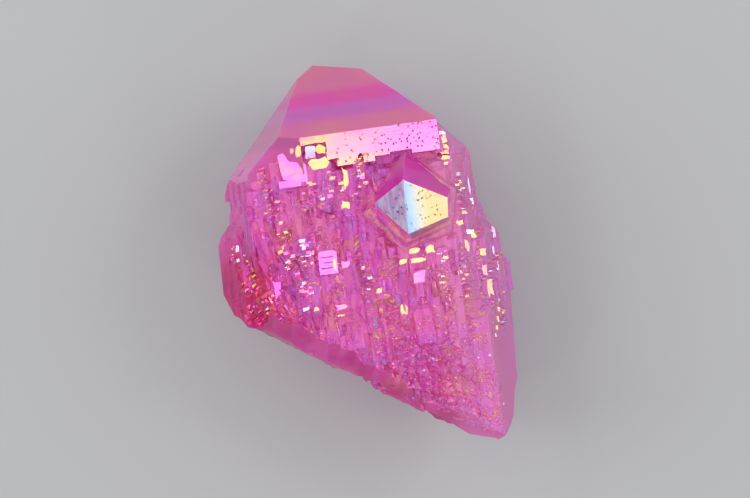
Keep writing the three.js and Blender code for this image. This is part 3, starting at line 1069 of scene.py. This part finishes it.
class Polished:
    """Where the polished faces that differ from the rest are, as shares from 0 to 1."""

    def __init__(self, w):
        # The ledge, and two tip faces of the small crystal: the ones that look down and up.
        self.ledge = w.times(w.ramp(w.v, 12.0, LEDGE_FOOT), w.ramp(w.w, 24.9, 24.95))
        small = w.times(w.ramp(w.w, 25.05, 25.1), w.ramp(w.v, 0.4, 0.5))
        looks_down = w.times(w.ramp(w.aim[1], 0.1, -0.1), w.ramp(w.aim[2], 0.40, 0.45))
        self.low_face = w.times(small, looks_down)
        self.high_face = w.times(small, w.ramp(w.aim[1], 0.2, 0.4))
        self.left_tip = w.times(w.ramp(w.aim[0], -0.4, -0.6), w.ramp(w.v, 9.0, 12.0))
        # Dark specks, in patches on the ledge and on the small crystal's lower face.
        dots = w.ramp(w.cells(w.stretched(2.0, 1.7, 0.4), 1.0, "Distance"), 0.22, 0.30, 1.0, 0.0)
        patches = w.ramp(w.noise(w.place, 0.7), 0.42, 0.5)
        self.specks = w.times(dots, patches, w.math("MAXIMUM", self.low_face, self.ledge))

    def colour(self, w, colour):
        # The small crystal's lower faces are painted as lit on one side and shaded on the other:
        # those looking left get a whitish painted reflection in wisps, those looking right a
        # darker painted shade.
        sheen_wisps = w.noise(w.stretched(2.4, 0.5, 0.5), 1.0, 3.0, 0.65)
        painted_sheen = w.mix(w.ramp(sheen_wisps, 0.42, 0.62), PAINTED_SHEEN_PINK, PAINTED_SHEEN_WHITE)
        colour = w.mix(self.low_face, colour, w.mix(w.ramp(w.aim[0], -0.1, 0.1), painted_sheen, PAINTED_SHADE_MAUVE))
        colour = w.mix(self.high_face, colour, PURPLE)
        # The left tip face, which looks towards the left lamp, is painted paler: a painted
        # highlight.
        colour = w.mix(w.times(self.left_tip, 0.3), colour, PAINTED_SHEEN_WHITE)
        return w.mix(self.specks, colour, DARK)

    def film(self, w):
        """What the polished faces add to the film. It turns the ledge from pink at the
        right to gold at the left and at its lower edge there, runs down the broad tip face
        from rose through magenta and violet to rose, and over the lower face of the small
        crystal from blue-white to yellow."""
        ledge = w.add(w.ramp(w.u, 3.0, 7.5, -11, -6), w.ramp(w.u, -2.0, -5.0, 0, -6),
                      w.times(w.ramp(w.u, 5.0, 3.0), w.ramp(w.v, 15.0, 13.0, 0, -9)))
        tip = w.add(w.ramp(w.v, 27.0, 23.2, -12, 0), w.ramp(w.v, 23.2, 21.3, 0, 14),
                    w.ramp(w.v, 21.0, 19.3, 0, -22))
        small = w.ramp(w.u, 5.6, 9.8, -90, -37, False)
        return w.add(w.times(self.ledge, ledge), w.times(w.ramp(w.v, 17.6, 17.9), tip),
                     w.times(self.low_face, small))


def grown_normal(w, low_left, facets, facet_size, lines, ribs):
    """Small planes a few degrees out of true, then growth lines across and along the axis,
    which fade in the glassy part at the lower left."""
    normal = w.node("NewGeometry").outputs["Normal"]
    if facets:
        tiles = w.cells(w.stretched(1.0, 2.0, 1.0), 1 / facet_size)
        tiles = w.vector("SUBTRACT", tiles, (0.5, 0.5, 0.5))
        normal = w.vector("ADD", normal, w.vector("SCALE", tiles, scale=facets))
        normal = w.vector("NORMALIZE", normal)
    fade = w.ramp(low_left, 0.0, 0.7, 1.0, 0.15)
    if lines:
        close = 1.8 if w.name == "flash" else 5.0
        across = w.noise(w.stretched(0.25, close, 0.25), 1.0, 3.0, 0.6)
        normal = w.bump(across, normal, w.times(fade, lines))
    if ribs:
        down = w.noise(w.stretched(3.0, 0.25, 3.0))
        normal = w.bump(down, normal, w.times(fade, ribs))
    return normal


def aura_quartz(name, roughness, facets=0.0, facet_size=1.0, lines=0.0, ribs=0.0, drift=12):
    """Pink quartz under the rainbow film. `facets` is how far the surface is broken into
    small planes of its own, `lines` and `ribs` how deep the growth lines across and along
    the axis are, and `drift` how far the film strays over the crystal, in nanometres."""
    w = Wiring(name)
    shader = w.shader
    low_left = w.times(w.ramp(w.u, -7.0, -17.0), w.ramp(w.v, 9.0, -2.0))
    colour = body_colour(w, low_left)

    # The film drifts over the crystal, jumps from face to face, and is thicker on the faces
    # that stand steeply and, but for the break, at the lower left.
    wander = w.ramp(w.noise(w.place, 0.16), 0.3, 0.7, -drift, drift, False)
    steep = w.ramp(w.math("ABSOLUTE", w.aim[2]), 1.0, 0.4, 0, 20, False)
    film = w.node("Attribute", attribute_name="film").outputs["Fac"]
    film = w.add(film, FILM, wander, steep)
    if name != "broken":
        film = w.add(film, w.times(low_left, 7))
    if name == "flash":
        film = w.add(film, w.ramp(w.noise(w.place, 0.9), 0.35, 0.65, -6, 6, False))

    shader.inputs["Roughness"].default_value = roughness
    if name == "mirror":
        polished = Polished(w)
        colour = polished.colour(w, colour)
        film = w.add(film, polished.film(w))
        w.feed(shader.inputs["Roughness"], w.mix(polished.specks, roughness, 0.6, "FLOAT"))
    w.feed(shader.inputs["Base Color"], colour)
    w.feed(shader.inputs["Normal"], grown_normal(w, low_left, facets, facet_size, lines, ribs))
    w.feed(shader.inputs["Thin Film Thickness"], film)
    for socket, value in SHARED.items():
        shader.inputs[socket].default_value = value
    return w.material


# In the order of the material slots.
for slot, finish in enumerate((
    aura_quartz("body", 0.30, facets=0.10, facet_size=1.6, lines=0.5, ribs=0.6),
    aura_quartz("mirror", 0.08, lines=0.06, drift=5),
    aura_quartz("flash", 0.13, lines=0.25, drift=8),
    aura_quartz("shelf", 0.12, facets=0.14, facet_size=0.5, lines=0.7),
    aura_quartz("crust", 0.16, facets=0.3, facet_size=0.3),
    aura_quartz("broken", 0.22, lines=0.2, ribs=0.5),
)):
    crystal.data.materials[slot] = finish

# ---------------- floor and light
bpy.ops.mesh.primitive_plane_add(size=6)
floor = bpy.context.object
floor.name = "floor"
grey = bpy.data.materials.new("floor")
grey.use_nodes = True
paint = grey.node_tree.nodes["Principled BSDF"]
paint.inputs["Base Color"].default_value = (0.585, 0.595, 0.60, 1)
paint.inputs["Roughness"].default_value = 0.8
floor.data.materials.append(grey)


def area_light(name, place, target, size, power, colour=(1, 1, 1)):
    """A rectangular lamp. Its size is in metres and its power in watts."""
    data = bpy.data.lights.new(name, "AREA")
    data.shape = "RECTANGLE"
    data.size, data.size_y = size
    data.energy = power
    data.color = colour
    light = object_from(data, name)
    light.location = place
    light.rotation_euler = (Vector(target) - Vector(place)).to_track_quat("-Z", "Y").to_euler()


# Small lamps bring out the front, the small crystal and single glints.
FRONT_CENTRE = (0, 0, 0.02)
area_light("key", (0.0, 0.0, 0.8), FRONT_CENTRE, (0.14, 0.14), 0.28)
area_light("small_crystal", (0.35, -0.45, 0.41), FRONT_CENTRE, (0.16, 0.16), 0.26,
           (1.0, 0.80, 0.94))
for place in ((-0.35, 0.30, 0.55), (0.42, 0.22, 0.5), (-0.32, -0.36, 0.5)):
    area_light("sparkle", place, FRONT_CENTRE, (0.09, 0.09), 0.16)

# Large ones fill in softly from the sides and from beyond the tip.
CENTRE = (0, 0, 0.01)
area_light("left", (-0.7, 0.1, 0.5), CENTRE, (0.6, 0.6), 1.8)
area_light("right", (0.7, 0.2, 0.5), CENTRE, (0.6, 0.6), 1.45)
area_light("top", (0.0, 0.9, 0.35), CENTRE, (0.8, 0.4), 0.5)

world = bpy.data.worlds.new("studio")
bpy.context.scene.world = world
world.use_nodes = True
world.node_tree.nodes["Background"].inputs["Color"].default_value = (0.8, 0.81, 0.83, 1)
world.node_tree.nodes["Background"].inputs["Strength"].default_value = 0.58

# ---------------- camera
# Straight above. Places in the photograph are in pixels, to the right and down.
PHOTO_WIDTH, PHOTO_HEIGHT = 750, 498
ORIGIN_X, ORIGIN_Y = 368, 250.75     # where the part's origin is in it
PIXEL = 0.15 * MM                    # size of a pixel at the height SCALE_HEIGHT
SCALE_HEIGHT = 0.016
LENS = 120.0
SENSOR = 36.0
camera = object_from(bpy.data.cameras.new("camera"), "camera")
camera.data.lens = LENS
camera.data.sensor_width = SENSOR
camera.data.clip_start = 0.01
camera.location = (
    (PHOTO_WIDTH / 2 - ORIGIN_X) * PIXEL,
    (ORIGIN_Y - PHOTO_HEIGHT / 2) * PIXEL,
    SCALE_HEIGHT + PHOTO_WIDTH * PIXEL * LENS / SENSOR,
)
camera.rotation_euler = (0, 0, 0)

scene = bpy.context.scene
scene.camera = camera
scene.view_settings.view_transform = "Standard"
scene.cycles.use_denoising = True
